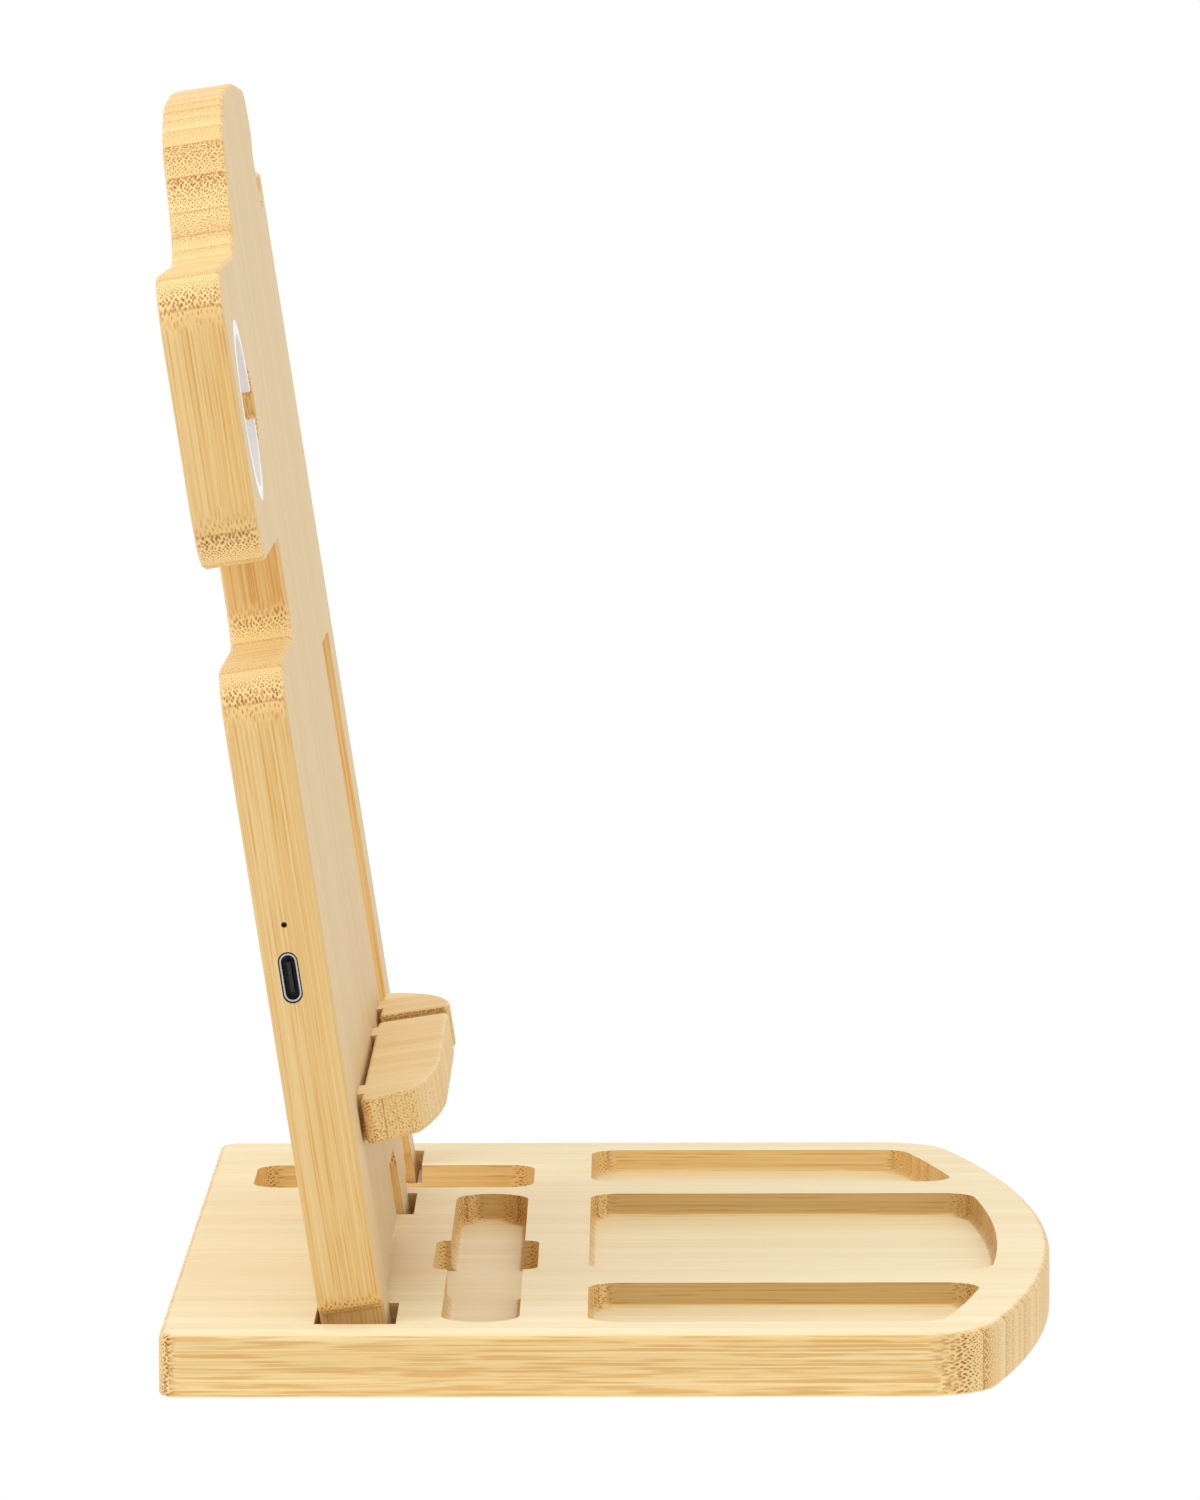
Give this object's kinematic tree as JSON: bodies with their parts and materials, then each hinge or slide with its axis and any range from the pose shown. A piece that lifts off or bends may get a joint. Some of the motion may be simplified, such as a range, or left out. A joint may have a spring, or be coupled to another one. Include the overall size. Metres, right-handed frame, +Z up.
{
  "type": "charging station organizer",
  "caption": "Bamboo desk organizer: a bowed tray base with a leaning plug-in panel that holds a phone on ledges over a hidden charger and a watch on a side lobe.",
  "frame": {"origin": "under the middle of the object's box, on the surface that it stands on", "axes": "+Z up, -Y towards the front where the trays are, -X towards the watch seat"},
  "size_m": [0.234, 0.1733, 0.2375],
  "materials": {
    "bamboo": "oiled, edge-laminated strips",
    "white_plastic": "smooth satin",
    "steel": "satin",
    "black_plastic": "moulded",
    "board_laminate": "solder-masked",
    "copper": "enamelled wire",
    "ferrite": "sintered",
    "foam": "closed-cell foam",
    "ceramic": "fired ceramic",
    "clear_plastic": "clear",
    "foot_rubber": "soft matte"
  },
  "bodies": {
    "base": {"base_board": "bamboo", "foot_front_left": "foot_rubber", "foot_front_right": "foot_rubber", "foot_back_left": "foot_rubber", "foot_back_right": "foot_rubber"},
    "upright": {"upright_panel": "bamboo", "back_cover": "bamboo", "watch_ring": "white_plastic", "cover_screws": "steel", "board_screws": "steel", "usb_c_shell": "steel", "usb_c_tongue": "black_plastic", "port_bezel": "black_plastic", "control_chips": "black_plastic", "circuit_board": "board_laminate", "charging_coil": "copper", "coil_leads": "copper", "ferrite_plate": "ferrite", "power_inductor": "ferrite", "foam_pad": "foam", "filter_capacitors": "ceramic", "status_led": "clear_plastic", "led_light_pipe": "clear_plastic"},
    "ledge_left": {"phone_ledge_left": "bamboo"},
    "ledge_right": {"phone_ledge_right": "bamboo"}
  },
  "joints": [
    {"name": "panel_lift", "type": "slide", "parent": "base", "child": "upright", "axis": [0, 0.1513, 0.9885], "range_m": [0, 0.01]},
    {"name": "ledge_left_pull", "type": "slide", "parent": "upright", "child": "ledge_left", "axis": [0, -0.9885, 0.1513], "range_m": [0, 0.01]},
    {"name": "ledge_right_pull", "type": "slide", "parent": "upright", "child": "ledge_right", "axis": [0, -0.9885, 0.1513], "range_m": [0, 0.01]}
  ]
}
